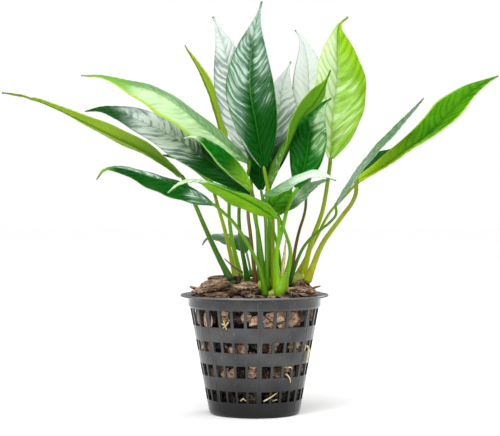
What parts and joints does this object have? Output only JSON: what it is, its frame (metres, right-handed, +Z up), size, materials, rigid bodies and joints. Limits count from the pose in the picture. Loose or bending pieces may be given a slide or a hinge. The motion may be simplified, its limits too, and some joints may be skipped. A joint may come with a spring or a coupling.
{
  "type": "potted anubias plant",
  "caption": "Small aquatic plant with long-stalked pointed leaves on a creeping rhizome, bedded in bark in a slotted tapering net pot that stands on its flat base.",
  "frame": {"origin": "middle of the pot's underside, on the surface that it stands on", "axes": "+Z up, -Y towards the front of the plant, +X to the right, along its widest spread"},
  "size_m": [0.1903, 0.083, 0.1566],
  "materials": {
    "pot_plastic": "dark grey moulded plastic with a soft sheen and light scratches",
    "growing_medium": "packed bark crumbs and fibre, dull",
    "bark": "flaky broken bark, dull",
    "rhizome": "fleshy creeping stem, satin",
    "root": "thin pale root, dull",
    "dry_leaf": "what is left of old leaf stalks, dull",
    "petiole": "smooth waxy leaf stalk, satin",
    "leaf_dark": "deep green waxy leaf with a glossy ribbed upper side",
    "leaf_grey": "grey-green leaf with a strong silvery sheen",
    "leaf_lime": "young yellow-green leaf, satin",
    "leaf_mint": "pale green leaf with a silvery sheen"
  },
  "bodies": {
    "root": {"net_pot": "pot_plastic", "growing_medium": "growing_medium", "bark_slab_left": "bark", "bark_slab_centre": "bark", "bark_slab_right": "bark", "bark_slab_back": "bark", "bark_chip_back_left": "bark", "rhizome_left": "rhizome", "rhizome_middle": "rhizome", "rhizome_front": "rhizome", "rhizome_right": "rhizome", "root_right_side": "root", "dry_sheath_front": "dry_leaf", "dry_stalk_left": "dry_leaf", "blade_tall_front": "leaf_dark", "petiole_tall_front": "petiole", "blade_tall_left_back": "leaf_grey", "petiole_tall_left_back": "petiole", "blade_narrow_left_back": "leaf_lime", "petiole_narrow_left_back": "petiole", "blade_upper_left": "leaf_mint", "petiole_upper_left": "petiole", "blade_short_left": "leaf_dark", "petiole_short_left": "petiole", "blade_broad_left": "leaf_dark", "petiole_broad_left": "petiole", "blade_far_left": "leaf_lime", "petiole_far_left": "petiole", "blade_low_left": "leaf_dark", "petiole_low_left": "petiole", "blade_front_arching": "leaf_lime", "petiole_front_arching": "petiole", "blade_behind_left": "leaf_lime", "petiole_behind_left": "petiole", "blade_upright_centre_back": "leaf_grey", "petiole_upright_centre_back": "petiole", "blade_dark_centre": "leaf_dark", "petiole_dark_centre": "petiole", "blade_upright_right_back": "leaf_grey", "petiole_upright_right_back": "petiole", "blade_tall_right": "leaf_lime", "petiole_tall_right": "petiole", "blade_twisted_right": "leaf_dark", "petiole_twisted_right": "petiole", "blade_broad_right": "leaf_dark", "petiole_broad_right": "petiole", "blade_front_right": "leaf_mint", "petiole_front_right": "petiole", "blade_low_right": "leaf_grey", "petiole_low_right": "petiole", "blade_small_centre": "leaf_lime", "petiole_small_centre": "petiole", "blade_small_low_left": "leaf_dark", "petiole_small_low_left": "petiole", "blade_far_right": "leaf_lime", "petiole_far_right": "petiole", "blade_small_right": "leaf_dark", "petiole_small_right": "petiole", "blade_narrow_right": "leaf_grey", "petiole_narrow_right": "petiole"}
  },
  "joints": []
}
